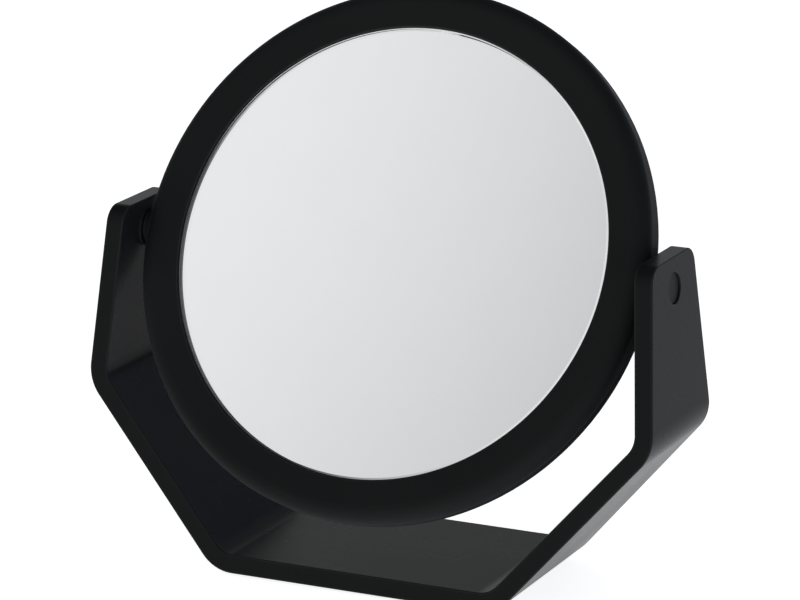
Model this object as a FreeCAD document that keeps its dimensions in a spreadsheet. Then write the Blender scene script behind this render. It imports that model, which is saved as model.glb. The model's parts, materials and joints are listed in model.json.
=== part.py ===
import FreeCAD, Part
import math
import os
import re

import Sketcher
from FreeCAD import Placement, Rotation, Vector

# Table-top shaving mirror: a double-sided round mirror that turns over in a six-sided band stand.
# Millimetres. The stand stands on z = 0, +X runs along the pivot axis to the right, and the
# front faces -Y. The mirror head is stored tilted back by the sheet's "tilt".
#
# Pieces of the head are drawn in a head frame: X along the pivot, Y out of the face that the
# piece belongs to and the pivot axis through the origin. Front and rear pieces are then turned
# about X to their own side. Pivot hardware is drawn on the right and turned about Z to the left.

DIMENSIONS = (
    # Band stand, in a frame whose z = 0 is the underside of the base plate.
    ("half_base", 50.95, "half width of the base plate at its sharp outer corner"),
    ("half_waist", 101.1, "half width at the outer corner where an arm begins"),
    ("waist_height", 57.5, "height of that corner"),
    ("half_top", 96.9, "half width at the outer top corner of an arm"),
    ("arm_height", 115.7, "height of an arm's top"),
    ("wall", 6.2, "thickness of the band"),
    ("depth_floor", 66.5, "front to back at the floor"),
    ("depth_top", 35.2, "front to back at the arm's top"),
    ("outer_corner", 14.5, "radius outside each bend"),
    ("inner_corner", 8.5, "radius inside each bend"),
    ("arm_corner", 6.0, "radius of an arm's front and rear top corners"),
    ("soft_edge", 0.4, "rounding along every long edge of the band"),
    ("pivot_height", 105.6, "pivot axis above the underside of the base plate"),
    # Rubber feet, let into the underside.
    ("foot_radius", 5.0, ""),
    ("foot_thick", 1.8, ""),
    ("foot_recess", 1.0, "depth of the pocket that holds a foot"),
    ("foot_x", 36.0, "half spacing across"),
    ("foot_y", 23.0, "half spacing front to back"),
    ("foot_gap", 0.1, "radial room around a foot in its pocket"),
    # Mirror head.
    ("tilt", 26.8, "degrees that the front mirror leans back"),
    ("frame_radius", 89.3, ""),
    ("frame_half", 7.0, "half thickness of the frame"),
    ("frame_round", 4.2, "rounding of each half's outer edge"),
    ("lip_height", 6.1, "mouth of the glass recess, above the parting plane"),
    ("land_radius", 84.0, "where the dished face of the frame meets its flat crown"),
    ("seam", 0.15, "chamfer on both sides of the seam around the rim"),
    ("frame_skin", 2.0, "moulded wall of the frame"),
    ("channel_round", 2.2, "inside radius of the hollow in the frame"),
    ("recess_radius", 75.6, "recess that the glass drops into"),
    ("recess_wall", 1.8, ""),
    ("lip_edge", 0.3, "rounding at the mouth of the recess"),
    ("web_thick", 1.4, "disc behind the flat mirror"),
    ("tongue_thick", 0.8, "locating tongue on the front half"),
    ("tongue_length", 0.8, ""),
    ("tongue_gap", 0.1, ""),
    ("flange_radius", 67.0, "inner radius of the ledge behind the magnifying mirror"),
    ("flange_low", 0.8, "ledge's inner face, from the parting plane"),
    ("flange_high", 2.8, "ledge's outer face, from the parting plane"),
    # Glass and tape.
    ("glass_radius", 75.4, ""),
    ("glass_thick", 2.0, ""),
    ("glass_sink", 0.3, "glass below the mouth of its recess"),
    ("glass_arris", 0.5, "ground edge of the glass"),
    ("curve_radius", 1000.0, "hollow face of the magnifying mirror"),
    ("tape_thick", 0.5, ""),
    ("tape_inner", 52.0, "flat mirror's tape ring"),
    ("tape_outer", 73.0, ""),
    ("rim_tape_inner", 67.5, "magnifying mirror's tape ring"),
    ("rim_tape_outer", 74.5, ""),
    ("tape_clear", 0.02, "kept between a tape and curved glass"),
    # Frame screws.
    ("screw_circle", 71.5, "radius that the frame screws stand on"),
    ("frame_screw_radius", 1.25, ""),
    ("frame_screw_length", 5.0, ""),
    ("frame_screw_head", 2.25, ""),
    ("screw_clear", 0.02, "radial room in a tapped hole"),
    ("hole_clear", 0.1, "radial room in a plain hole"),
    ("stud_radius", 2.7, "post that a frame screw bites into"),
    ("pilot_depth", 2.5, "bottom of a post's hole, above the parting plane"),
    # Pivot, measured along X from the middle of the mirror.
    ("boss_start", 76.0, "root of the frame's pivot boss"),
    ("boss_end", 90.1, "end face of the frame's pivot boss"),
    ("boss_radius", 6.0, ""),
    ("arm_boss_face", 90.9, "face of the raised pad inside an arm"),
    ("arm_boss_radius", 6.6, ""),
    ("arm_boss_length", 2.0, ""),
    ("bore_floor", 92.9, "floor of the outer counterbore in an arm"),
    ("bore_end", 99.0, "outside the arm"),
    ("cap_hole_radius", 5.1, ""),
    ("cap_hole_edge", 0.25, ""),
    ("bush_radius", 3.2, ""),
    ("bush_bore", 2.05, ""),
    ("bush_flange_radius", 4.7, ""),
    ("bush_flange", 0.7, ""),
    ("pivot_screw_radius", 2.0, ""),
    ("pivot_screw_tip", 80.1, ""),
    ("pivot_screw_seat", 94.1, "underside of the screw's head"),
    ("pivot_head_radius", 3.8, ""),
    ("pivot_head_height", 1.6, ""),
    ("spring_radius", 4.0, ""),
    ("spring_bore", 2.15, ""),
    ("spring_thick", 0.25, ""),
    ("spring_rise", 0.15, ""),
    ("face_gap", 0.05, "running gap between faces that slide"),
    ("washer_radius", 5.6, ""),
    ("washer_bore", 2.1, ""),
    ("nut_start", 83.0, "inner end of the pocket for the nut"),
    ("nut_height", 3.2, ""),
    ("nut_flats", 7.0, "across the flats"),
    ("nut_gap", 0.05, "room on every side of the nut"),
    ("tip_room_start", 79.0, "blind end of the frame's screw hole"),
    ("cap_radius", 5.05, ""),
    ("cap_under", 96.0, "inner face of the cap"),
    ("cap_sink", 0.7, "cap's outer face below the arm's"),
    ("cap_skirt", 0.7, "thickness of the cap's skirt"),
    ("cap_skirt_end", 94.3, "inner end of the skirt"),
    ("cap_edge", 0.25, ""),
    ("recess_arm", 0.45, "half width of a cross recess"),
    ("recess_depth", 0.9, ""),
)

SHEET = "Dims"
FRAME_SCREWS = 6
TINY = 1e-6

doc = FreeCAD.newDocument("ShavingMirror")


# ---------------------------------------------------------------- sheet and sketch helpers


def make_sheet():
    sheet = doc.addObject("Spreadsheet::Sheet", SHEET)
    for row, (alias, value, note) in enumerate(DIMENSIONS, 1):
        sheet.set(f"A{row}", alias)
        sheet.set(f"B{row}", str(value))
        sheet.setAlias(f"B{row}", alias)
        sheet.set(f"C{row}", note)
    doc.recompute()
    return sheet


sheet = make_sheet()
ALIASES = {alias for alias, _, _ in DIMENSIONS}


def bound(text):
    """A formula in aliases, with each one written as the sheet's cell."""

    def cell(word):
        return f"{SHEET}.{word[0]}" if word[0] in ALIASES else word[0]

    return re.sub(r"[a-z_]+", cell, text)


def number(text):
    """The formula's value now."""
    return float(sheet.evalExpression(bound(text)))


def plane(body, role):
    return next(f for f in body.Origin.OriginFeatures if f.Role == role)


def new_body(label):
    body = doc.addObject("PartDesign::Body", label)
    body.Label = label
    return body


def new_sketch(body, name, role, offset=None):
    """A sketch on one of the body's origin planes, moved along its normal by a formula."""
    sketch = body.newObject("Sketcher::SketchObject", name)
    sketch.AttachmentSupport = [(plane(body, role), "")]
    sketch.MapMode = "FlatFace"
    if offset:
        sketch.setExpression("AttachmentOffset.Base.z", bound(offset))
    return sketch


def pin_coordinate(sketch, kind, geometry, point, formula):
    """Holds one coordinate of a sketch point at a formula's value."""
    value = number(formula)
    if abs(value) < TINY:
        axis = -2 if kind == "DistanceX" else -1
        sketch.addConstraint(Sketcher.Constraint("PointOnObject", geometry, point, axis))
        return
    if value > 0:
        constraint = Sketcher.Constraint(kind, -1, 1, geometry, point, value)
        formula_used = bound(formula)
    else:
        constraint = Sketcher.Constraint(kind, geometry, point, -1, 1, -value)
        formula_used = f"-( {bound(formula)} )"
    index = sketch.addConstraint(constraint)
    sketch.setExpression(f"Constraints[{index}]", formula_used)


def polygon(sketch, corners):
    """Adds a closed polygon whose corners are pairs of formulas."""
    points = [Vector(number(x), number(y), 0) for x, y in corners]
    first = sketch.GeometryCount
    count = len(points)
    for i in range(count):
        sketch.addGeometry(Part.LineSegment(points[i], points[(i + 1) % count]))
    for i in range(count):
        following = first + (i + 1) % count
        sketch.addConstraint(Sketcher.Constraint("Coincident", first + i, 2, following, 1))
    for i, (x, y) in enumerate(corners):
        pin_coordinate(sketch, "DistanceX", first + i, 1, x)
        pin_coordinate(sketch, "DistanceY", first + i, 1, y)


def circle(sketch, x, y, radius):
    """Adds a circle whose centre and radius are formulas."""
    centre = Vector(number(x), number(y), 0)
    index = sketch.addGeometry(Part.Circle(centre, Vector(0, 0, 1), number(radius)))
    pin_coordinate(sketch, "DistanceX", index, 3, x)
    pin_coordinate(sketch, "DistanceY", index, 3, y)
    constraint = sketch.addConstraint(Sketcher.Constraint("Radius", index, number(radius)))
    sketch.setExpression(f"Constraints[{constraint}]", bound(radius))


def axis_line(sketch, x):
    """Adds a construction line parallel to the sketch's vertical axis, to turn a profile about."""
    ends = [Vector(number(x), y, 0) for y in (0, 10)]
    index = sketch.addGeometry(Part.LineSegment(*ends), True)
    for point in (1, 2):
        pin_coordinate(sketch, "DistanceX", index, point, x)
    sketch.addConstraint(Sketcher.Constraint("PointOnObject", index, 1, -1))
    sketch.addConstraint(Sketcher.Constraint("DistanceY", index, 1, index, 2, 10))


# ---------------------------------------------------------------- feature helpers


def turned(body, name, sketch, axis, cut=False):
    """Revolves a sketch about one of its axes, adding material or cutting it."""
    feature = body.newObject("PartDesign::Groove" if cut else "PartDesign::Revolution", name)
    feature.Profile = sketch
    feature.ReferenceAxis = (sketch, [axis])
    feature.Angle = 360
    sketch.Visibility = False
    doc.recompute()
    return feature


def padded(body, name, sketch, length, reverse=False, both_ways=False):
    feature = body.newObject("PartDesign::Pad", name)
    feature.Profile = sketch
    feature.Reversed = reverse
    feature.SideType = "Symmetric" if both_ways else "One side"
    feature.setExpression("Length", bound(length))
    doc.recompute()
    return feature


def pocketed(body, name, sketch, length=None, reverse=False, both_ways=False):
    """Cuts a sketch's area away, by a formula's length or right through."""
    before = body.Shape.Volume
    feature = body.newObject("PartDesign::Pocket", name)
    feature.Profile = sketch
    feature.Reversed = reverse
    feature.SideType = "Symmetric" if both_ways else "One side"
    if length:
        feature.setExpression("Length", bound(length))
    else:
        feature.Type = "ThroughAll"
    doc.recompute()
    if body.Shape.Volume >= before - TINY:
        raise RuntimeError(f"{name} cut nothing from {body.Label}")
    return feature


def mirrored(body, name, features):
    """Repeats features on the other side of the middle plane x = 0."""
    feature = body.newObject("PartDesign::Mirrored", name)
    feature.Originals = features
    feature.MirrorPlane = (plane(body, "YZ_Plane"), [""])
    body.Tip = feature
    doc.recompute()
    return feature


def around(body, name, features, role, count):
    """Repeats features around an axis of the body."""
    feature = body.newObject("PartDesign::PolarPattern", name)
    feature.Originals = features
    feature.Axis = (plane(body, role), [""])
    feature.Angle = 360
    feature.Occurrences = count
    body.Tip = feature
    doc.recompute()
    return feature


def dressed(body, kind, name, wanted, size):
    """A fillet or chamfer on each edge for which wanted(edge) is true."""
    base = body.Tip
    edges = base.Shape.Edges
    names = [f"Edge{i}" for i, edge in enumerate(edges, 1) if wanted(edge)]
    if not names:
        raise RuntimeError(f"{name} found no edge on {body.Label}")
    feature = body.newObject(f"PartDesign::{kind}", name)
    feature.Base = (base, names)
    feature.setExpression("Size" if kind == "Chamfer" else "Radius", bound(size))
    doc.recompute()
    return feature


def ring_edge(radius, height):
    """Tests for the circular edge about the Y axis at that radius and height."""
    r, y = number(radius), number(height)

    def wanted(edge):
        if edge.Curve.TypeId != "Part::GeomCircle":
            return False
        centre = edge.Curve.Center
        on_axis = math.hypot(centre.x, centre.z) < 0.01
        return on_axis and abs(edge.Curve.Radius - r) < 0.01 and abs(centre.y - y) < 0.01

    return wanted


# ---------------------------------------------------------------- placements


def place_in_stand(body):
    """Lifts a piece of the stand so that the feet reach the floor."""
    body.setExpression("Placement.Base.z", bound("foot_thick - foot_recess"))


PIVOT_Z = "pivot_height + foot_thick - foot_recess"


def place_in_head(body, front):
    """Turns a head piece, drawn with its own face towards +Y, to the front or the rear."""
    axis = Vector(1 if front else -1, 0, 0)
    lean = "180 - tilt" if front else "tilt"
    body.Placement = Placement(Vector(0, 0, 0), Rotation(axis, number(lean)))
    body.setExpression("Placement.Rotation.Angle", bound(lean))
    body.setExpression("Placement.Base.z", bound(PIVOT_Z))


def place_on_pivot(body, left):
    """Puts a pivot piece, drawn about +X, on the pivot axis at the right or the left."""
    body.Placement = Placement(Vector(0, 0, 0), Rotation(Vector(0, 0, 1), 180 if left else 0))
    body.setExpression("Placement.Base.z", bound(PIVOT_Z))


# ---------------------------------------------------------------- stand


def band_outline(sketch):
    """The band's closed outline in the XZ plane: base plate, two sloping sides and two arms.

    The inner line stays one wall inside the outer one, and the arms end level.
    """
    outer = (
        ("-1 * half_base", "0"),
        ("half_base", "0"),
        ("half_waist", "waist_height"),
        ("half_top", "arm_height"),
        ("-1 * half_top", "arm_height"),
        ("-1 * half_waist", "waist_height"),
    )
    wall = number("wall")
    left_base, right_base, right_waist, right_top, left_top, left_waist = (
        Vector(number(x), number(z), 0) for x, z in outer
    )
    inward = Vector(-wall, 0, 0)
    loop = [
        left_base,
        right_base,
        right_waist,
        right_top,
        right_top + inward,
        right_waist + inward,
        right_base + Vector(-wall / 2, wall, 0),
        left_base + Vector(wall / 2, wall, 0),
        left_waist - inward,
        left_top - inward,
        left_top,
        left_waist,
    ]
    count = len(loop)
    for i in range(count):
        sketch.addGeometry(Part.LineSegment(loop[i], loop[(i + 1) % count]))
    for i in range(count):
        sketch.addConstraint(Sketcher.Constraint("Coincident", i, 2, (i + 1) % count, 1))
    for line, (x, z) in zip((0, 1, 2, 3, 10, 11), outer):
        pin_coordinate(sketch, "DistanceX", line, 1, x)
        pin_coordinate(sketch, "DistanceY", line, 1, z)
    # Lines 0, 1 and 2 are the outside of the base, the right slope and the right arm.
    for corner, outside in ((4, 2), (5, 2), (5, 1), (6, 1), (6, 0)):
        index = sketch.addConstraint(
            Sketcher.Constraint("Distance", corner, 1, outside, wall)
        )
        sketch.setExpression(f"Constraints[{index}]", bound("wall"))
    sketch.addConstraint(Sketcher.Constraint("Horizontal", 3))
    for right, left in ((4, 9), (5, 8), (6, 7)):
        sketch.addConstraint(Sketcher.Constraint("Symmetric", right, 1, left, 1, -2))


def stand_band():
    """The one-piece band, cut to its taper, with its bends, soft edges, pivot seats and foot pockets."""
    body = new_body("stand_band")
    outline = new_sketch(body, "band_outline", "XZ_Plane")
    band_outline(outline)
    padded(body, "band_blank", outline, "depth_floor", both_ways=True)

    # Front and rear faces lean in: a frame-shaped cut leaves the tapered side view.
    taper = new_sketch(body, "side_taper", "YZ_Plane")
    polygon(
        taper,
        (
            ("-1 * depth_floor", "-1 * wall"),
            ("depth_floor", "-1 * wall"),
            ("depth_floor", "arm_height + wall"),
            ("-1 * depth_floor", "arm_height + wall"),
        ),
    )
    polygon(
        taper,
        (
            ("-1 * depth_floor / 2", "0"),
            ("depth_floor / 2", "0"),
            ("depth_top / 2", "arm_height"),
            ("-1 * depth_top / 2", "arm_height"),
        ),
    )
    pocketed(body, "taper_cut", taper, both_ways=True)

    round_bends(body)
    soften_edges(body)
    pivot_seats(body)
    foot_pockets(body)
    place_in_stand(body)
    return body


def round_bends(body):
    """Rounds the four bends outside and inside, and the top corners of both arms."""
    base_z = number("waist_height") / 2
    waist_x, waist_z = number("half_waist"), number("waist_height")
    base_x = number("half_base")

    def along_y(edge):
        ends = [v.Point for v in edge.Vertexes]
        return len(ends) == 2 and abs(ends[0].x - ends[1].x) < 0.01 and abs(
            ends[0].z - ends[1].z
        ) < 0.01

    def bend(offset_low, offset_high):
        def wanted(edge):
            if not along_y(edge):
                return False
            point = edge.Vertexes[0].Point
            if point.z < base_z:
                return offset_low < base_x - abs(point.x) + point.z < offset_high
            if point.z > number("arm_height") - number("wall"):
                return False
            return offset_low < waist_x - abs(point.x) + abs(point.z - waist_z) < offset_high

        return wanted

    middle = number("wall") / 2
    dressed(body, "Fillet", "outer_bends", bend(-1, middle), "outer_corner")
    dressed(body, "Fillet", "inner_bends", bend(middle, 4 * middle), "inner_corner")

    top_z = number("arm_height") - 1

    def arm_corner_edge(edge):
        ends = [v.Point for v in edge.Vertexes]
        return len(ends) == 2 and all(p.z > top_z for p in ends) and not along_y(edge)

    dressed(body, "Fillet", "arm_corners", arm_corner_edge, "arm_corner")


def soften_edges(body):
    """Rounds both long edges of the band's front, rear and arm-end faces."""
    shape = body.Tip.Shape
    top_z = number("arm_height") - 1

    def is_side(face):
        """True for the broad faces, inside and outside, whose surfaces run along Y."""
        surface = face.Surface
        if surface.TypeId == "Part::GeomCylinder":
            return abs(surface.Axis.y) > 0.99
        if surface.TypeId != "Part::GeomPlane":
            return False
        return abs(surface.Axis.y) < 0.01 and face.CenterOfMass.z < top_z

    def wanted(edge):
        faces = shape.ancestorsOfType(edge, Part.Face)
        return len(faces) == 2 and is_side(faces[0]) != is_side(faces[1])

    dressed(body, "Fillet", "soft_edges", wanted, "soft_edge")


def pivot_seats(body):
    """A raised pad inside each arm, and a stepped bore for bush, screw head and cap."""
    pad_sketch = new_sketch(body, "pad_circle", "YZ_Plane", "arm_boss_face")
    circle(pad_sketch, "0", "pivot_height", "arm_boss_radius")
    pad = padded(body, "arm_pad", pad_sketch, "arm_boss_length")
    mirrored(body, "arm_pads", [pad])

    bore_sketch = new_sketch(body, "bore_profile", "XY_Plane", "pivot_height")
    polygon(
        bore_sketch,
        (
            ("arm_boss_face - 1", "0"),
            ("bore_end", "0"),
            ("bore_end", "cap_hole_radius"),
            ("bore_floor", "cap_hole_radius"),
            ("bore_floor", "bush_radius + screw_clear"),
            ("arm_boss_face - 1", "bush_radius + screw_clear"),
        ),
    )
    bore = turned(body, "pivot_bore", bore_sketch, "H_Axis", cut=True)
    mirrored(body, "pivot_bores", [bore])

    def mouth(edge):
        """The long way round the mouth of each counterbore, on the sloping outer face."""
        box = edge.BoundBox
        across = 2 * number("cap_hole_radius")
        outside = min(abs(box.XMin), abs(box.XMax)) > number("cap_under")
        return outside and abs(box.YLength - across) < 0.1 and abs(box.ZLength - across) < 0.1

    dressed(body, "Chamfer", "bore_mouths", mouth, "cap_hole_edge")


def foot_pockets(body):
    """Four shallow round pockets in the underside."""
    sketch = new_sketch(body, "foot_circles", "XY_Plane")
    for x in ("foot_x", "-1 * foot_x"):
        for y in ("foot_y", "-1 * foot_y"):
            circle(sketch, x, y, "foot_radius + foot_gap")
    pocketed(body, "foot_pockets", sketch, "foot_recess", reverse=True)


def rubber_foot(label, x_sign, y_sign):
    """A round stick-on foot with a chamfered tread."""
    body = new_body(label)
    sketch = new_sketch(body, f"{label}_profile", "XZ_Plane")
    tread = "foot_thick / 4"
    polygon(
        sketch,
        (
            ("0", "0"),
            (f"foot_radius - {tread}", "0"),
            ("foot_radius", tread),
            ("foot_radius", "foot_thick"),
            ("0", "foot_thick"),
        ),
    )
    turned(body, f"{label}_disc", sketch, "V_Axis")
    body.setExpression("Placement.Base.x", bound(f"{x_sign} * foot_x"))
    body.setExpression("Placement.Base.y", bound(f"{y_sign} * foot_y"))
    return body


# ---------------------------------------------------------------- mirror head

GLASS_FACE = "lip_height - glass_sink"
WEB_HIGH = f"{GLASS_FACE} - glass_thick - tape_thick"
WEB_LOW = f"{WEB_HIGH} - web_thick"


def frame_profile(floor_radius, floor_low, floor_high):
    """Half of the hollow ring in section, with a floor for the glass that runs in to a radius."""
    return (
        (floor_radius, floor_high),
        ("recess_radius", floor_high),
        ("recess_radius", "lip_height"),
        ("land_radius", "frame_half"),
        ("frame_radius", "frame_half"),
        ("frame_radius", "0"),
        ("frame_radius - frame_skin", "0"),
        ("frame_radius - frame_skin", "frame_half - frame_skin"),
        ("recess_radius + recess_wall", "frame_half - frame_skin"),
        ("recess_radius + recess_wall", "0"),
        ("recess_radius", "0"),
        ("recess_radius", floor_low),
        (floor_radius, floor_low),
    )


def round_frame(body):
    """The round outer edge, the hollow's corner, the small edge at the glass and the seam."""
    outer = ring_edge("frame_radius", "frame_half")
    hollow = ring_edge("frame_radius - frame_skin", "frame_half - frame_skin")
    lip = ring_edge("recess_radius", "lip_height")
    dressed(body, "Fillet", "outer_round", outer, "frame_round")
    dressed(body, "Fillet", "hollow_corner", hollow, "channel_round")
    dressed(body, "Fillet", "lip", lip, "lip_edge")
    dressed(body, "Chamfer", "seam_edge", ring_edge("frame_radius", "0"), "seam")


def half_bosses(body):
    """Half of each pivot boss, standing out of the rim to carry the pivot screw and its nut."""
    sketch = new_sketch(body, "half_disc", "YZ_Plane", "boss_start")
    radius = number("boss_radius")
    arc = Part.ArcOfCircle(
        Part.Circle(Vector(0, 0, 0), Vector(0, 0, 1), radius), -math.pi / 2, math.pi / 2
    )
    sketch.addGeometry(arc)
    sketch.addGeometry(Part.LineSegment(Vector(0, radius, 0), Vector(0, -radius, 0)))
    for own, other in ((2, 1), (1, 2)):
        sketch.addConstraint(Sketcher.Constraint("Coincident", 0, own, 1, other))
    sketch.addConstraint(Sketcher.Constraint("Coincident", 0, 3, -1, 1))
    sketch.addConstraint(Sketcher.Constraint("PointOnObject", 0, 1, -2))
    sketch.addConstraint(Sketcher.Constraint("PointOnObject", 0, 2, -2))
    index = sketch.addConstraint(Sketcher.Constraint("Radius", 0, radius))
    sketch.setExpression(f"Constraints[{index}]", bound("boss_radius"))
    boss = padded(body, "half_boss", sketch, "boss_end - boss_start")
    mirrored(body, "half_bosses", [boss])


def screw_ways(body):
    """The pivot screws' holes along X and the pockets for their nuts, cut on both sides."""
    hole_sketch = new_sketch(body, "screw_way", "XY_Plane")
    reach = "bush_bore + hole_clear"
    polygon(
        hole_sketch,
        (
            ("tip_room_start", "0"),
            ("boss_end + 1", "0"),
            ("boss_end + 1", reach),
            ("tip_room_start", reach),
        ),
    )
    hole = turned(body, "screw_hole", hole_sketch, "H_Axis", cut=True)
    mirrored(body, "screw_holes", [hole])
    nut_sketch = new_sketch(body, "nut_hexagon", "YZ_Plane", "nut_start")
    hexagon(nut_sketch, "nut_flats / 2 + nut_gap")
    pocket = pocketed(body, "nut_pocket", nut_sketch, "nut_height + 2 * nut_gap", reverse=True)
    mirrored(body, "nut_pockets", [pocket])


def hexagon(sketch, apothem):
    """A hexagon about the sketch's origin with two sides square to its horizontal axis."""
    side = f"({apothem}) / cos(30 deg)"
    polygon(
        sketch,
        (
            (apothem, f"{side} / 2"),
            ("0", side),
            (f"-1 * ({apothem})", f"{side} / 2"),
            (f"-1 * ({apothem})", f"-0.5 * {side}"),
            ("0", f"-1 * {side}"),
            (apothem, f"-0.5 * {side}"),
        ),
    )


def front_frame():
    """Front half of the frame: ring, web behind the flat mirror, tongue and screw posts."""
    body = new_body("front_frame")
    profile = new_sketch(body, "front_section", "XY_Plane")
    polygon(profile, frame_profile("0", WEB_LOW, WEB_HIGH))
    turned(body, "front_ring", profile, "V_Axis")
    round_frame(body)
    half_bosses(body)

    tongue_sketch = new_sketch(body, "tongue_section", "XY_Plane")
    inner = "frame_radius - frame_skin"
    root = "tongue_thick / 4"
    polygon(
        tongue_sketch,
        (
            (inner, root),
            (f"{inner} + tongue_thick", root),
            (f"{inner} + tongue_thick", "-1 * tongue_length"),
            (inner, "-1 * tongue_length"),
        ),
    )
    turned(body, "tongue", tongue_sketch, "V_Axis")
    screw_ways(body)

    # The XZ plane's normal is -Y, so a positive offset lies behind the parting plane.
    post_sketch = new_sketch(body, "post_circle", "XZ_Plane", "flange_low")
    circle(post_sketch, "screw_circle", "0", "stud_radius")
    post = padded(body, "post", post_sketch, f"flange_low + {WEB_LOW} + 0.2", reverse=True)
    pilot_sketch = new_sketch(body, "pilot_circle", "XZ_Plane", "flange_low")
    circle(pilot_sketch, "screw_circle", "0", "frame_screw_radius + screw_clear")
    pilot = pocketed(body, "pilot", pilot_sketch, "flange_low + pilot_depth")
    around(body, "posts", [post, pilot], "Y_Axis", FRAME_SCREWS)
    place_in_head(body, front=True)
    return body


def rear_frame():
    """Rear half of the frame: ring, ledge for the magnifying mirror, rebate and screw holes."""
    body = new_body("rear_frame")
    profile = new_sketch(body, "rear_section", "XY_Plane")
    polygon(profile, frame_profile("flange_radius", "flange_low", "flange_high"))
    turned(body, "rear_ring", profile, "V_Axis")
    round_frame(body)
    half_bosses(body)

    rebate_sketch = new_sketch(body, "rebate_section", "XY_Plane")
    inner = "frame_radius - frame_skin"
    polygon(
        rebate_sketch,
        (
            (f"{inner} - frame_skin / 2", "-1"),
            (f"{inner} + tongue_thick + tongue_gap", "-1"),
            (f"{inner} + tongue_thick + tongue_gap", "tongue_length + tongue_gap"),
            (f"{inner} - frame_skin / 2", "tongue_length + tongue_gap"),
        ),
    )
    turned(body, "rebate", rebate_sketch, "V_Axis", cut=True)
    screw_ways(body)

    sink_sketch = new_sketch(body, "countersink", "XY_Plane")
    head = "screw_circle + frame_screw_head + hole_clear"
    plain = "screw_circle + frame_screw_radius + hole_clear"
    polygon(
        sink_sketch,
        (
            ("screw_circle", "0"),
            (plain, "0"),
            (plain, "flange_high - frame_screw_head + frame_screw_radius"),
            (head, "flange_high"),
            (head, "flange_high + 0.1"),
            ("screw_circle", "flange_high + 0.1"),
        ),
    )
    axis_line(sink_sketch, "screw_circle")
    sink = turned(body, "screw_sink", sink_sketch, "Axis0", cut=True)
    around(body, "screw_sinks", [sink], "Y_Axis", FRAME_SCREWS)
    place_in_head(body, front=False)
    return body


def flat_glass():
    """The plain mirror: a flat disc with ground edges."""
    body = new_body("flat_mirror_glass")
    sketch = new_sketch(body, "flat_section", "XY_Plane")
    polygon(
        sketch,
        (
            ("0", f"{GLASS_FACE} - glass_thick"),
            ("glass_radius", f"{GLASS_FACE} - glass_thick"),
            ("glass_radius", f"{GLASS_FACE} - glass_arris"),
            ("glass_radius - glass_arris", GLASS_FACE),
            ("0", GLASS_FACE),
        ),
    )
    turned(body, "flat_disc", sketch, "V_Axis")
    place_in_head(body, front=True)
    return body


CURVE_CENTRE = f"{GLASS_FACE} + sqrt(curve_radius^2 - (glass_radius - glass_arris)^2)"


def magnifying_glass():
    """The magnifying mirror: a disc of even thickness between two concentric spheres."""
    body = new_body("magnifying_mirror_glass")
    sketch = new_sketch(body, "hollow_section", "XY_Plane")
    centre_y = number(CURVE_CENTRE)
    near, far = number("curve_radius"), number("curve_radius + glass_thick")
    rim, face_rim = number("glass_radius"), number("glass_radius - glass_arris")
    face_edge = Vector(face_rim, number(GLASS_FACE), 0)
    side_top = Vector(rim, number(f"{GLASS_FACE} - glass_arris"), 0)
    side_low = Vector(rim, centre_y - math.sqrt(far**2 - rim**2), 0)

    def arc(radius, end):
        """From the axis out to a rim point, about the spheres' centre."""
        turn = math.asin(end.x / radius)
        whole = Part.Circle(Vector(0, centre_y, 0), Vector(0, 0, 1), radius)
        return Part.ArcOfCircle(whole, -math.pi / 2, -math.pi / 2 + turn)

    sketch.addGeometry(arc(near, face_edge))  # 0: hollow face
    sketch.addGeometry(Part.LineSegment(face_edge, side_top))  # 1: ground edge
    sketch.addGeometry(Part.LineSegment(side_top, side_low))  # 2: side
    sketch.addGeometry(arc(far, side_low))  # 3: back
    bottom, top = Vector(0, centre_y - far, 0), Vector(0, centre_y - near, 0)
    sketch.addGeometry(Part.LineSegment(bottom, top))  # 4: on the axis
    joins = ((0, 2, 1, 1), (1, 2, 2, 1), (2, 2, 3, 2), (3, 1, 4, 1), (4, 2, 0, 1))
    for own, own_end, other, other_end in joins:
        sketch.addConstraint(Sketcher.Constraint("Coincident", own, own_end, other, other_end))
    sketch.addConstraint(Sketcher.Constraint("Coincident", 0, 3, 3, 3))
    sketch.addConstraint(Sketcher.Constraint("PointOnObject", 0, 3, -2))
    for end in (1, 2):
        sketch.addConstraint(Sketcher.Constraint("PointOnObject", 4, end, -2))
    for index, radius in ((0, "curve_radius"), (3, "curve_radius + glass_thick")):
        made = sketch.addConstraint(Sketcher.Constraint("Radius", index, number(radius)))
        sketch.setExpression(f"Constraints[{made}]", bound(radius))
    pin_coordinate(sketch, "DistanceX", 1, 1, "glass_radius - glass_arris")
    pin_coordinate(sketch, "DistanceY", 1, 1, GLASS_FACE)
    pin_coordinate(sketch, "DistanceX", 2, 1, "glass_radius")
    pin_coordinate(sketch, "DistanceY", 2, 1, f"{GLASS_FACE} - glass_arris")
    sketch.addConstraint(Sketcher.Constraint("Vertical", 2))
    turned(body, "hollow_disc", sketch, "V_Axis")
    place_in_head(body, front=False)
    return body


def flat_tape():
    """Double-sided foam tape between the web and the flat mirror."""
    body = new_body("flat_mirror_tape")
    sketch = new_sketch(body, "tape_section", "XY_Plane")
    polygon(
        sketch,
        (
            ("tape_inner", WEB_HIGH),
            ("tape_outer", WEB_HIGH),
            ("tape_outer", f"{WEB_HIGH} + tape_thick"),
            ("tape_inner", f"{WEB_HIGH} + tape_thick"),
        ),
    )
    turned(body, "tape_ring", sketch, "V_Axis")
    place_in_head(body, front=True)
    return body


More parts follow.
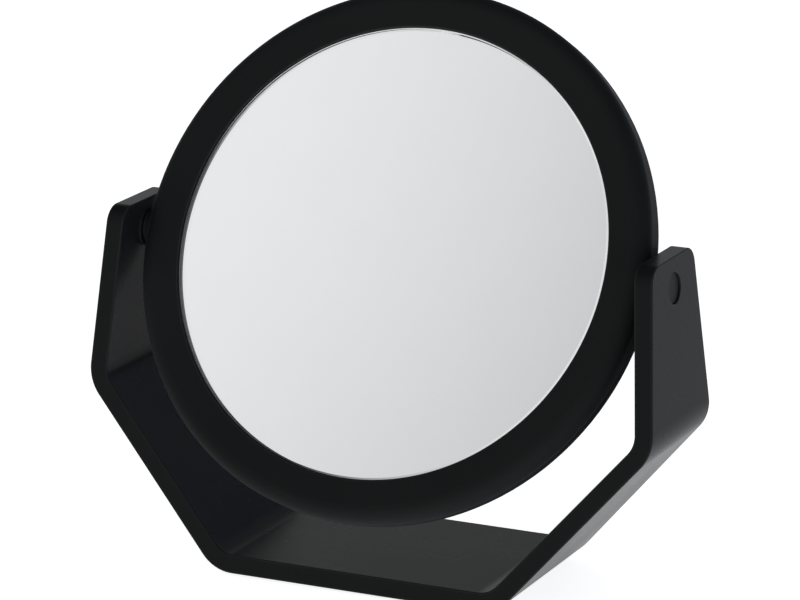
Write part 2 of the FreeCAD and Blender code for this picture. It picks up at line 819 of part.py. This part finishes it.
def rim_tape():
    """Foam tape between the ledge and the curved back of the magnifying mirror."""
    body = new_body("magnifying_mirror_tape")
    sketch = new_sketch(body, "rim_tape_section", "XY_Plane")
    back = "curve_radius + glass_thick"

    def glass_back(radius):
        return f"{CURVE_CENTRE} - sqrt(({back})^2 - {radius}^2) - tape_clear"

    polygon(
        sketch,
        (
            ("rim_tape_inner", "flange_high"),
            ("rim_tape_outer", "flange_high"),
            ("rim_tape_outer", glass_back("rim_tape_outer")),
            ("rim_tape_inner", glass_back("rim_tape_inner")),
        ),
    )
    turned(body, "rim_tape_ring", sketch, "V_Axis")
    place_in_head(body, front=False)
    return body


def cross_outline(sketch, x, y, reach):
    """A plus shape for a cross recess, about a point."""
    arm = "recess_arm"
    steps = (
        (reach, arm),
        (arm, arm),
        (arm, reach),
        (f"-1 * {arm}", reach),
        (f"-1 * {arm}", arm),
        (f"-1 * {reach}", arm),
        (f"-1 * {reach}", f"-1 * {arm}"),
        (f"-1 * {arm}", f"-1 * {arm}"),
        (f"-1 * {arm}", f"-1 * {reach}"),
        (arm, f"-1 * {reach}"),
        (arm, f"-1 * {arm}"),
        (reach, f"-1 * {arm}"),
    )
    polygon(sketch, [(f"{x} + {dx}", f"{y} + {dy}") for dx, dy in steps])


def frame_screws():
    """Countersunk self-tapping screws that hold the two halves of the frame together."""
    body = new_body("frame_screws")
    body.AllowCompound = True
    sketch = new_sketch(body, "screw_section", "XY_Plane")
    shank = "screw_circle + frame_screw_radius"
    point = "flange_high - frame_screw_length"
    polygon(
        sketch,
        (
            ("screw_circle", point),
            (f"{shank} - frame_screw_radius / 2", point),
            (shank, f"{point} + frame_screw_radius"),
            (shank, "flange_high - frame_screw_head + frame_screw_radius"),
            ("screw_circle + frame_screw_head", "flange_high"),
            ("screw_circle", "flange_high"),
        ),
    )
    axis_line(sketch, "screw_circle")
    screw = turned(body, "frame_screw", sketch, "Axis0")
    # The XZ plane's normal is -Y, so the head's plane lies at a negative offset.
    cross_sketch = new_sketch(body, "screw_cross", "XZ_Plane", "-1 * flange_high")
    cross_outline(cross_sketch, "screw_circle", "0", "frame_screw_radius")
    cross = pocketed(body, "screw_recess", cross_sketch, "recess_depth", reverse=True)
    around(body, "screws", [screw, cross], "Y_Axis", FRAME_SCREWS)
    place_in_head(body, front=False)
    return body


# ---------------------------------------------------------------- pivot hardware


def pivot_turning(label, left, corners):
    """A piece turned about the pivot axis, from corners given as distance along X and radius."""
    body = new_body(label)
    sketch = new_sketch(body, f"{label}_section", "XY_Plane")
    polygon(sketch, corners)
    turned(body, f"{label}_turning", sketch, "H_Axis")
    place_on_pivot(body, left)
    return body


def pivot_bush(label, left):
    """Flanged nylon bush, pressed into the arm from outside."""
    corners = (
        ("arm_boss_face", "bush_bore"),
        ("bore_floor + bush_flange", "bush_bore"),
        ("bore_floor + bush_flange", "bush_flange_radius"),
        ("bore_floor", "bush_flange_radius"),
        ("bore_floor", "bush_radius"),
        ("arm_boss_face", "bush_radius"),
    )
    return pivot_turning(label, left, corners)


def pivot_cap(label, left):
    """Press-in cap that hides the screw. Its face follows the arm's slope, a little below it."""
    corners = (
        ("cap_under", "0"),
        ("bore_end", "0"),
        ("bore_end", "cap_radius"),
        ("cap_skirt_end", "cap_radius"),
        ("cap_skirt_end", "cap_radius - cap_skirt"),
        ("cap_under", "cap_radius - cap_skirt"),
    )
    body = pivot_turning(label, left, corners)
    slope = "(half_waist - half_top) / (arm_height - waist_height)"

    def face_at(height):
        """Distance along X of the cap's face, at a height above the pivot axis."""
        return f"half_top + (arm_height - pivot_height - ({height})) * {slope} - cap_sink"

    high, low = "cap_radius + 1", "-1 * (cap_radius + 1)"
    sketch = new_sketch(body, f"{label}_slope", "XZ_Plane")
    corners = ((face_at(low), low), ("bore_end + 1", low), ("bore_end + 1", high), (face_at(high), high))
    polygon(sketch, corners)
    pocketed(body, f"{label}_face", sketch, both_ways=True)

    def rim(edge):
        box = edge.BoundBox
        return box.XMin > number("cap_under") + 0.1 and box.YLength > number("cap_radius")

    dressed(body, "Chamfer", f"{label}_rim", rim, "cap_edge")
    return body


def friction_washer(label, left):
    """Nylon washer between the frame's boss and the pad on the arm."""
    start, end = "boss_end + face_gap", "arm_boss_face - face_gap"
    corners = (
        (start, "washer_bore"),
        (end, "washer_bore"),
        (end, "washer_radius"),
        (start, "washer_radius"),
    )
    return pivot_turning(label, left, corners)


def spring_washer(label, left):
    """Coned spring washer under the screw's head, which sets the pivot's friction."""
    start = "bore_floor + bush_flange + face_gap"
    corners = (
        (start, "spring_radius"),
        (f"{start} + spring_rise", "spring_bore"),
        (f"{start} + spring_rise + spring_thick", "spring_bore"),
        (f"{start} + spring_thick", "spring_radius"),
    )
    return pivot_turning(label, left, corners)


def pivot_screw(label, left):
    """Pan-head machine screw that is the pivot pin: its shank turns in the arm's bush."""
    head_top = "pivot_screw_seat + pivot_head_height"
    body = pivot_turning(
        label,
        left,
        (
            ("pivot_screw_tip", "0"),
            ("pivot_screw_tip", "pivot_screw_radius * 0.75"),
            ("pivot_screw_tip + pivot_screw_radius * 0.25", "pivot_screw_radius"),
            ("pivot_screw_seat", "pivot_screw_radius"),
            ("pivot_screw_seat", "pivot_head_radius"),
            (f"{head_top} - pivot_head_height / 3", "pivot_head_radius"),
            (head_top, "pivot_head_radius * 0.8"),
            (head_top, "0"),
        ),
    )
    sketch = new_sketch(body, f"{label}_cross", "YZ_Plane", head_top)
    cross_outline(sketch, "0", "0", "pivot_head_radius / 2")
    pocketed(body, f"{label}_recess", sketch, "recess_depth")
    return body


def pivot_nut(label, left):
    """Hexagon nut trapped in the frame's boss."""
    body = new_body(label)
    sketch = new_sketch(body, f"{label}_hexagon", "YZ_Plane", "nut_start + nut_gap")
    hexagon(sketch, "nut_flats / 2")
    circle(sketch, "0", "0", "pivot_screw_radius + screw_clear")
    padded(body, f"{label}_prism", sketch, "nut_height")
    place_on_pivot(body, left)
    return body


def head_tilted(body, left):
    """Turns pivot hardware that belongs to the head with the head."""
    flip = Rotation(Vector(0, 0, 1), 180 if left else 0)
    lean = Rotation(Vector(1, 0, 0), -number("tilt"))
    height = number(PIVOT_Z)
    body.Placement = Placement(Vector(0, 0, height), lean.multiply(flip))
    return body


# ---------------------------------------------------------------- build and export


def build():
    nodes = [stand_band()]
    for x_name, x_sign in (("left", -1), ("right", 1)):
        for y_name, y_sign in (("front", -1), ("rear", 1)):
            nodes.append(rubber_foot(f"foot_{y_name}_{x_name}", x_sign, y_sign))
    nodes += [front_frame(), rear_frame(), flat_glass(), magnifying_glass()]
    nodes += [flat_tape(), rim_tape(), frame_screws()]
    for side, left in (("left", True), ("right", False)):
        nodes.append(pivot_bush(f"pivot_bush_{side}", left))
        nodes.append(pivot_cap(f"pivot_cap_{side}", left))
        nodes.append(head_tilted(friction_washer(f"friction_washer_{side}", left), left))
        nodes.append(head_tilted(spring_washer(f"spring_washer_{side}", left), left))
        nodes.append(head_tilted(pivot_screw(f"pivot_screw_{side}", left), left))
        nodes.append(head_tilted(pivot_nut(f"pivot_nut_{side}", left), left))
    doc.recompute()
    return nodes


def export(nodes):
    for thing in doc.Objects:
        if "Invalid" in thing.State or "Error" in thing.State:
            raise RuntimeError(f"{thing.Label} failed: {thing.State}")
    os.makedirs("parts", exist_ok=True)
    for node in nodes:
        shape = node.Shape
        if shape.isNull() or not shape.isValid() or not shape.Solids:
            raise RuntimeError(f"{node.Label} has no valid shape")
        shape.exportStep(f"parts/{node.Label}.step")
        print(f"{node.Label}: {len(shape.Solids)} solid(s), {shape.Volume / 1000:.2f} cm3")


export(build())
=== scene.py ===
import json
import math

import bpy
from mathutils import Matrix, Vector


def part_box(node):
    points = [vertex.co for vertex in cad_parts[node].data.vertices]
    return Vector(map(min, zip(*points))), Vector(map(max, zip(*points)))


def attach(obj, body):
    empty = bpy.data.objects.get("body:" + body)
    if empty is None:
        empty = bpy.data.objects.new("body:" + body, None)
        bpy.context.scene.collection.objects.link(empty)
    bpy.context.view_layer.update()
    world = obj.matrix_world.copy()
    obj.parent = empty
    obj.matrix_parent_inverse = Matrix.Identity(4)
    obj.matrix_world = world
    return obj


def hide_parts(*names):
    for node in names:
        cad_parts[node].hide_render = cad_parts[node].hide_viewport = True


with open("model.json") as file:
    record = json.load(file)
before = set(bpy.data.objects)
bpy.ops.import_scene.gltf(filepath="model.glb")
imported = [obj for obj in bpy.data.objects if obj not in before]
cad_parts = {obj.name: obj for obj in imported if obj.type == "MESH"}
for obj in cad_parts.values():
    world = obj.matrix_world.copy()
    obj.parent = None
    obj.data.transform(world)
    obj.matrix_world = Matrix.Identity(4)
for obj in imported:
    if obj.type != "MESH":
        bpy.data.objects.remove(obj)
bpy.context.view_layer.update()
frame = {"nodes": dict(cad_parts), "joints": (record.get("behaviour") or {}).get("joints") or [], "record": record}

# A double-sided shaving mirror on a band stand, in metres, in the CAD frame: +X right, +Y rear, +Z up.
# The CAD nodes keep their shapes and get their finishes here. The two glasses are built again with the
# parts that real ones have: clear glass with a polished arris and a ground side, and silver and paint
# behind.

MM = 0.001

scene = bpy.context.scene


# ---------------------------------------------------------------- node helpers


NODE_SPACING = 200


class Nodes:
    """Adds nodes to a tree and links them, from left to right."""

    def __init__(self, tree):
        self.tree = tree
        self.count = 0

    def add(self, kind, inputs=None, **settings):
        """A node of a kind; inputs are sockets to link from or values, by name or index."""
        node = self.tree.nodes.new(kind)
        node.location = (NODE_SPACING * self.count, 0)
        self.count += 1
        for name, value in settings.items():
            setattr(node, name, value)
        for name, value in (inputs or {}).items():
            if isinstance(value, bpy.types.NodeSocket):
                self.tree.links.new(value, node.inputs[name])
            else:
                node.inputs[name].default_value = value
        return node

    def math(self, operation, first, second):
        return self.add("ShaderNodeMath", {0: first, 1: second}, operation=operation).outputs[0]

    def remap(self, value, low, high):
        """A 0 to 1 value, spread over low to high."""
        inputs = {"Value": value, "To Min": low, "To Max": high}
        return self.add("ShaderNodeMapRange", inputs).outputs[0]

    def dot(self, first, second):
        inputs = {0: first, 1: second}
        return self.add("ShaderNodeVectorMath", inputs, operation="DOT_PRODUCT").outputs["Value"]

    def noise(self, place, scale, detail=2.0, roughness=0.5):
        """Noise over a position in metres; scale is waves per metre."""
        inputs = {"Vector": place, "Scale": scale, "Detail": detail, "Roughness": roughness}
        return self.add("ShaderNodeTexNoise", inputs).outputs["Fac"]

    def mix(self, factor, first, second):
        """A blend of two colours, each an RGB triple or a socket."""
        node = self.add("ShaderNodeMix", {"Factor": factor}, data_type="RGBA")
        for socket, colour in zip(node.inputs[6:8], (first, second)):
            if isinstance(colour, bpy.types.NodeSocket):
                self.tree.links.new(colour, socket)
            else:
                socket.default_value = (*colour, 1)
        return node.outputs[2]

    def bump(self, height, depth, strength):
        """Relief of a depth in metres from a 0 to 1 height."""
        inputs = {"Height": height, "Distance": depth, "Strength": strength}
        return self.add("ShaderNodeBump", inputs).outputs[0]


def new_material(name, constants=None):
    """A material, its node helper, its principled shader and the position on the piece.

    constants are the shader's numbers and colours that are the same all over.
    """
    material = bpy.data.materials.new(name)
    material.use_nodes = True
    material.node_tree.nodes.clear()
    nodes = Nodes(material.node_tree)
    shader = nodes.add("ShaderNodeBsdfPrincipled", constants)
    output = nodes.add("ShaderNodeOutputMaterial")
    material.node_tree.links.new(shader.outputs[0], output.inputs[0])
    place = nodes.add("ShaderNodeTexCoord").outputs["Object"]
    return material, nodes, shader, place


def link(nodes, value, shader, socket):
    nodes.tree.links.new(value, shader.inputs[socket])


# ---------------------------------------------------------------- materials


GLASS_IOR = 1.52

# The soft-touch coat: a weak gloss, a cool bloom at grazing angles, a fine grain and faint marks of
# handling, which change its shade and its roughness from place to place.
COAT_IOR = 1.09
COAT_BLOOM_ROUGHNESS = 0.4
COAT_BLOOM_TINT = (0.78, 0.85, 1.0, 1.0)
GRAIN_SCALE = 2200
GRAIN_DEPTH = 0.02 * MM
GRAIN_STRENGTH = 0.35
MARK_SCALE = 28
MARK_DARK, MARK_PALE = 0.85, 1.15
MARK_SMOOTHER, MARK_ROUGHER = 0.04, 0.05

# Edges are rubbed smoother and paler where the surface turns within EDGE_RADIUS; the paler colour
# there is wear and also a painted highlight along the edges. The rub begins where the cosine of the
# turn is EDGE_START and is complete at EDGE_FULL.
EDGE_RADIUS = 0.9 * MM
EDGE_START, EDGE_FULL = 0.995, 0.9
EDGE_WEAR_AND_HIGHLIGHT_PALE = 3.0
EDGE_SMOOTHER = 0.08


def shade(colour, factor):
    return [channel * factor for channel in colour]


def soft_touch(name, colour, roughness, bloom):
    """Black moulded plastic with a rubbery matt coat."""
    constants = {
        "IOR": COAT_IOR,
        "Sheen Weight": bloom,
        "Sheen Roughness": COAT_BLOOM_ROUGHNESS,
        "Sheen Tint": COAT_BLOOM_TINT,
    }
    material, nodes, shader, place = new_material(name, constants)
    grain = nodes.noise(place, GRAIN_SCALE, detail=1.0)
    marks = nodes.noise(place, MARK_SCALE, detail=4.0, roughness=0.6)
    rounded = nodes.add("ShaderNodeBevel", {"Radius": EDGE_RADIUS}, samples=4).outputs[0]
    turned = nodes.dot(rounded, nodes.add("ShaderNodeNewGeometry").outputs["Normal"])
    spread = {"Value": turned, "From Min": EDGE_START, "From Max": EDGE_FULL}
    edge = nodes.add("ShaderNodeMapRange", spread).outputs[0]
    handled = nodes.mix(marks, shade(colour, MARK_DARK), shade(colour, MARK_PALE))
    # Paler base colour along the edges: wear, and a painted highlight standing in for light caught there.
    link(nodes, nodes.mix(edge, handled, shade(colour, EDGE_WEAR_AND_HIGHLIGHT_PALE)), shader, "Base Color")
    rough = nodes.remap(marks, roughness - MARK_SMOOTHER, roughness + MARK_ROUGHER)
    rubbed = nodes.math("MULTIPLY", edge, EDGE_SMOOTHER)
    link(nodes, nodes.math("SUBTRACT", rough, rubbed), shader, "Roughness")
    link(nodes, nodes.bump(grain, GRAIN_DEPTH, GRAIN_STRENGTH), shader, "Normal")
    return material


def clear_glass(name):
    """Float glass with a trace of haze."""
    constants = {"IOR": GLASS_IOR, "Transmission Weight": 1.0}
    material, nodes, shader, place = new_material(name, constants)
    haze = nodes.noise(place, 60, detail=3.0)
    link(nodes, nodes.mix(haze, (0.984, 0.988, 0.99), (0.99, 0.994, 0.996)), shader, "Base Color")
    link(nodes, nodes.remap(haze, 0.0, 0.004), shader, "Roughness")
    return material


def silver(name):
    """Silvering, with a breath of unevenness."""
    material, nodes, shader, place = new_material(name, {"Metallic": 1.0})
    haze = nodes.noise(place, 60, detail=3.0)
    link(nodes, nodes.mix(haze, (0.93, 0.93, 0.93), (0.945, 0.945, 0.945)), shader, "Base Color")
    link(nodes, nodes.remap(haze, 0.002, 0.008), shader, "Roughness")
    return material


def scratched(name, colour, roughness):
    """A glass disc's ground side or its back paint, with fine scratches."""
    material, nodes, shader, place = new_material(name, {"IOR": GLASS_IOR})
    scratch = nodes.noise(place, 900, detail=3.0)
    link(nodes, nodes.mix(scratch, shade(colour, 0.8), colour), shader, "Base Color")
    link(nodes, nodes.remap(scratch, roughness, roughness + 0.15), shader, "Roughness")
    link(nodes, nodes.bump(scratch, 0.02 * MM, 0.5), shader, "Normal")
    return material


def steel(name):
    """Zinc-plated steel, faintly brushed and cloudy."""
    material, nodes, shader, place = new_material(name, {"Metallic": 1.0})
    cloud = nodes.noise(place, 400, detail=3.0)
    link(nodes, nodes.mix(cloud, (0.52, 0.53, 0.55), (0.66, 0.66, 0.65)), shader, "Base Color")
    link(nodes, nodes.remap(cloud, 0.28, 0.42), shader, "Roughness")
    link(nodes, nodes.bump(nodes.noise(place, 5000), 0.01 * MM, 0.4), shader, "Normal")
    return material


def nylon(name):
    """Natural nylon, a little translucent."""
    constants = {"IOR": 1.53, "Subsurface Weight": 0.2, "Subsurface Scale": 1.0 * MM}
    material, nodes, shader, place = new_material(name, constants)
    cloud = nodes.noise(place, 700, detail=2.0)
    link(nodes, nodes.mix(cloud, (0.78, 0.76, 0.7), (0.86, 0.85, 0.8)), shader, "Base Color")
    link(nodes, nodes.remap(cloud, 0.38, 0.5), shader, "Roughness")
    return material


def foam(name):
    """White closed-cell foam tape."""
    material, nodes, shader, place = new_material(name)
    cells = nodes.add("ShaderNodeTexVoronoi", {"Vector": place, "Scale": 4000.0}).outputs["Distance"]
    link(nodes, nodes.mix(cells, (0.74, 0.74, 0.72), (0.88, 0.88, 0.86)), shader, "Base Color")
    link(nodes, nodes.remap(cells, 0.75, 0.9), shader, "Roughness")
    link(nodes, nodes.bump(cells, 0.05 * MM, 0.6), shader, "Normal")
    return material


def rubber(name):
    """Dark grey rubber with a dusty, slightly pitted skin."""
    material, nodes, shader, place = new_material(name, {"IOR": 1.45})
    pits = nodes.noise(place, 1800, detail=3.0)
    dust = nodes.noise(place, 120, detail=3.0)
    link(nodes, nodes.mix(dust, (0.014, 0.014, 0.014), (0.035, 0.035, 0.034)), shader, "Base Color")
    link(nodes, nodes.remap(dust, 0.62, 0.8), shader, "Roughness")
    link(nodes, nodes.bump(pits, 0.03 * MM, 0.5), shader, "Normal")
    return material


def dress_cad_nodes():
    """Gives each CAD node the finish of its slot in the record."""
    finishes = {
        "stand_black": soft_touch(
            "stand_soft_touch", (0.0125, 0.0133, 0.0129), roughness=0.27, bloom=0.03
        ),
        "frame_black": soft_touch(
            "frame_soft_touch", (0.0155, 0.0166, 0.016), roughness=0.54, bloom=0.06
        ),
        "cap_black": soft_touch(
            "cap_plastic", (0.015, 0.0153, 0.0157), roughness=0.38, bloom=0.02
        ),
        "washer_black": soft_touch(
            "acetal_black", (0.005, 0.005, 0.005), roughness=0.4, bloom=0.0
        ),
        "mirror": silver("mirror_silver"),
        "foam_tape": foam("foam_tape"),
        "foot_rubber": rubber("foot_rubber"),
        "nylon": nylon("natural_nylon"),
        "steel": steel("zinc_steel"),
    }
    for part in frame["record"]["subparts"]:
        data = frame["nodes"][part["node"]].data
        data.materials.clear()
        data.materials.append(finishes[part["material_slot"]])


# ---------------------------------------------------------------- glasses

PIVOT = Vector(frame["joints"][0]["pos_m"])
ROUND_STEPS = 256
ON_AXIS = 1e-9
SHARP_ANGLE = math.radians(20)
ARRIS = 0.5 * MM
PAINT = 0.08 * MM
PAINT_GAP = 0.02 * MM
HOLLOW_RADIUS = 1000 * MM
HOLLOW_RINGS = 40
SIDE_COLOUR = (0.03, 0.07, 0.065)
PAINT_COLOUR = (0.2, 0.21, 0.22)

# A CAD face belongs to a mirror's face if the cosine between its normal and the mirror's is above
# these: the first from a rough guess of the mirror's normal, the second from the normal so found.
LIKENESS = (0.8, 0.95)


def glass_frame(node, toward_rear):
    """The outward normal of a glass's face, its radius, and its back and rim distances from the pivot."""
    mesh = frame["nodes"][node].data
    normal = Vector((0, 1 if toward_rear else -1, 0))
    for likeness in LIKENESS:
        broad = [face for face in mesh.polygons if face.normal.dot(normal) > likeness]
        normal = sum((face.normal * face.area for face in broad), Vector())
        normal.normalize()
    low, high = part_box(node)
    radius = (high.x - low.x) / 2
    heights = [(vertex.co - PIVOT).dot(normal) for vertex in mesh.vertices]
    return normal, radius, min(heights), max(heights)


def lathe(name, profile, normal, materials):
    """A closed round solid about the pivot. profile lists (radius, height, material) from axis to axis."""
    right = Vector((1, 0, 0))
    up = normal.cross(right)
    rows, vertices = [], []
    for radius, height, _ in profile:
        if radius < ON_AXIS:
            rows.append([len(vertices)] * ROUND_STEPS)
            vertices.append(PIVOT + normal * height)
            continue
        rows.append([len(vertices) + step for step in range(ROUND_STEPS)])
        for step in range(ROUND_STEPS):
            turn = math.tau * step / ROUND_STEPS
            along = right * math.cos(turn) + up * math.sin(turn)
            vertices.append(PIVOT + along * radius + normal * height)
    faces, slots = [], []
    for row, following, (_, _, slot) in zip(rows, rows[1:], profile):
        for step in range(ROUND_STEPS):
            after = (step + 1) % ROUND_STEPS
            corners = (row[step], following[step], following[after], row[after])
            faces.append(list(dict.fromkeys(corners)))
            slots.append(slot)
    mesh = bpy.data.meshes.new(name)
    mesh.from_pydata(vertices, [], faces)
    for material in materials:
        mesh.materials.append(material)
    mesh.polygons.foreach_set("material_index", slots)
    mesh.polygons.foreach_set("use_smooth", [True] * len(faces))
    mesh.set_sharp_from_angle(angle=SHARP_ANGLE)
    mesh.update()
    piece = bpy.data.objects.new(name, mesh)
    scene.collection.objects.link(piece)
    return piece


def rings(surface, reach, count, slot):
    """Profile points of a surface from the axis out to a radius."""
    return [(reach * i / count, surface(reach * i / count), slot) for i in range(count + 1)]


def mirror(prefix, node, normal, radius, face, back, steps):
    """A glass disc with a polished arris, silvered behind, and a thin disc of paint over the silver.

    face and back give a surface's height at a distance from the axis, and back also takes how far it
    lies in front of the CAD glass's back. steps is how many rings make up a surface.
    """
    clear, side, shine = range(3)
    flat = radius - ARRIS
    front = rings(face, flat, steps, clear)
    rear = rings(lambda distance: back(distance, PAINT + PAINT_GAP), radius, steps, shine)
    profile = front + [(radius, face(flat) - ARRIS, side)] + rear[::-1]
    materials = [
        clear_glass(f"{prefix}_clear_glass"),
        scratched(f"{prefix}_side", SIDE_COLOUR, roughness=0.3),
        silver(f"{prefix}_silver"),
    ]
    glass = lathe(f"{prefix}_glass", profile, normal, materials)

    front = rings(lambda distance: back(distance, PAINT), radius, steps, 0)
    rear = rings(lambda distance: back(distance, 0), radius, steps, 0)
    materials = [scratched(f"{prefix}_back_paint", PAINT_COLOUR, roughness=0.5)]
    paint = lathe(f"{prefix}_back_coat", front + rear[::-1], normal, materials)
    for piece in (glass, paint):
        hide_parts(node)
        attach(piece, "mirror_head")


def plain_mirror():
    """The flat mirror, whose face and back are planes."""
    node = "flat_mirror_glass"
    normal, radius, low, high = glass_frame(node, toward_rear=False)

    def face(distance):
        return high

    def back(distance, ahead):
        return low + ahead

    mirror("plain", node, normal, radius, face, back, steps=1)


def hollow_mirror():
    """The magnifying mirror, whose face and back are parts of spheres about one centre."""
    node = "magnifying_mirror_glass"
    normal, radius, low, rim = glass_frame(node, toward_rear=True)
    centre = rim + math.sqrt(HOLLOW_RADIUS**2 - (radius - ARRIS) ** 2)

    def face(distance):
        return centre - math.sqrt(HOLLOW_RADIUS**2 - distance**2)

    def back(distance, ahead):
        return centre - math.sqrt((centre - low - ahead) ** 2 - distance**2)

    mirror("hollow", node, normal, radius, face, back, steps=HOLLOW_RINGS)


# ---------------------------------------------------------------- studio

FLOOR_SIZE = 14.0
FLOOR_GLOW = 0.87

# Soft panels far away, as patches of the world: name, azimuth from +Y towards +X, elevation, the half
# angles in degrees within which a panel is full and outside which it is nothing, strength and colour.
PANELS = (
    ("key", 228, 33, 4, 27.8, 0.9, (0.99, 1.0, 1.015)),
    ("front", 180, 35, 0, 45, 0.09, (1, 1, 1)),
    ("front_low", 188, 0, 12, 32, 0.8, (1, 1, 1)),
    ("left_low", 225, -2, 8, 24, 0.6, (1, 1, 1)),
    ("right_front", 115, 30, 0, 50, 0.42, (0.85, 0.88, 1.2)),
    ("rear_right", 20, 27, 0, 28, 0.85, (0.86, 0.88, 1.12)),
    ("rear", 340, 12, 0, 35, 0.8, (0.98, 1.0, 0.99)),
    ("rear_left", 300, 15, 0, 35, 0.6, (1, 1, 1)),
)


def direction(azimuth, elevation):
    """The direction at an azimuth, from +Y towards +X, and an elevation, both in degrees."""
    a, e = math.radians(azimuth), math.radians(elevation)
    return Vector((math.sin(a) * math.cos(e), math.cos(a) * math.cos(e), math.sin(e)))


def studio_world():
    """Soft panels with feathered edges, summed into one world."""
    world = bpy.data.worlds.new("studio")
    world.use_nodes = True
    world.node_tree.nodes.clear()
    nodes = Nodes(world.node_tree)
    looking = nodes.add("ShaderNodeTexCoord").outputs["Generated"]
    total = None
    for name, azimuth, elevation, inner, outer, strength, colour in PANELS:
        spread = {
            "Value": nodes.dot(looking, direction(azimuth, elevation)),
            "From Min": math.cos(math.radians(outer)),
            "From Max": math.cos(math.radians(inner)),
        }
        patch = nodes.add("ShaderNodeMapRange", spread, interpolation_type="SMOOTHSTEP").outputs[0]
        glow = nodes.add("ShaderNodeVectorMath", {0: shade(colour, strength)}, operation="SCALE")
        glow.name = f"panel_{name}"
        nodes.tree.links.new(patch, glow.inputs["Scale"])
        if total is None:
            total = glow.outputs[0]
        else:
            both = {0: total, 1: glow.outputs[0]}
            total = nodes.add("ShaderNodeVectorMath", both, operation="ADD").outputs[0]
    shader = nodes.add("ShaderNodeBackground", {"Color": total})
    output = nodes.add("ShaderNodeOutputWorld")
    nodes.tree.links.new(shader.outputs[0], output.inputs[0])
    scene.world = world


def floor():
    """A plain pale table top with a glow of its own, so that it stays white with hardly a shadow."""
    half = FLOOR_SIZE / 2
    corners = [(-half, -half, 0), (half, -half, 0), (half, half, 0), (-half, half, 0)]
    mesh = bpy.data.meshes.new("floor")
    mesh.from_pydata(corners, [], [(0, 1, 2, 3)])
    piece = bpy.data.objects.new("floor", mesh)
    scene.collection.objects.link(piece)
    constants = {
        "Roughness": 0.8,
        "IOR": 1.2,
        "Emission Color": (1, 1, 1, 1),
        "Emission Strength": FLOOR_GLOW,
    }
    material, nodes, shader, place = new_material("floor_white", constants)
    cloud = nodes.noise(place, 1.5)
    link(nodes, nodes.mix(cloud, (0.86, 0.86, 0.86), (0.88, 0.88, 0.88)), shader, "Base Color")
    mesh.materials.append(material)


OVERHEAD_PLACE = Vector((-0.2, 0.6, 2.0))
OVERHEAD_TARGET = Vector((0.0, 0.1, 0.0))
OVERHEAD_SIZE = 1.6
OVERHEAD_WATTS = 2.0


def overhead_light():
    """A large soft light above and a little behind."""
    data = bpy.data.lights.new("overhead_soft", "AREA")
    data.shape = "SQUARE"
    data.size = OVERHEAD_SIZE
    data.energy = OVERHEAD_WATTS
    light = bpy.data.objects.new("overhead_soft", data)
    light.location = OVERHEAD_PLACE
    aim = OVERHEAD_TARGET - OVERHEAD_PLACE
    light.rotation_euler = aim.to_track_quat("-Z", "Y").to_euler()
    scene.collection.objects.link(light)


CAMERA_AZIMUTH = 25.16
CAMERA_ELEVATION = 15.21
CAMERA_DISTANCE = 1.3752
CAMERA_TARGET = Vector((0.00161, 0.0, 0.09145))
CAMERA_LENS = 189.5
CAMERA_SENSOR = 36.0


def camera():
    """A long lens, from the front, right of centre and a little above."""
    data = bpy.data.cameras.new("camera")
    data.lens = CAMERA_LENS
    data.sensor_width = CAMERA_SENSOR
    data.clip_start = 0.05
    data.clip_end = 50.0
    thing = bpy.data.objects.new("camera", data)
    back = direction(180 - CAMERA_AZIMUTH, CAMERA_ELEVATION)
    thing.location = CAMERA_TARGET + back * CAMERA_DISTANCE
    thing.rotation_euler = (-back).to_track_quat("-Z", "Y").to_euler()
    scene.collection.objects.link(thing)
    scene.camera = thing


# ---------------------------------------------------------------- build

scene.view_settings.view_transform = "Standard"
camera()
dress_cad_nodes()
plain_mirror()
hollow_mirror()
studio_world()
floor()
overhead_light()
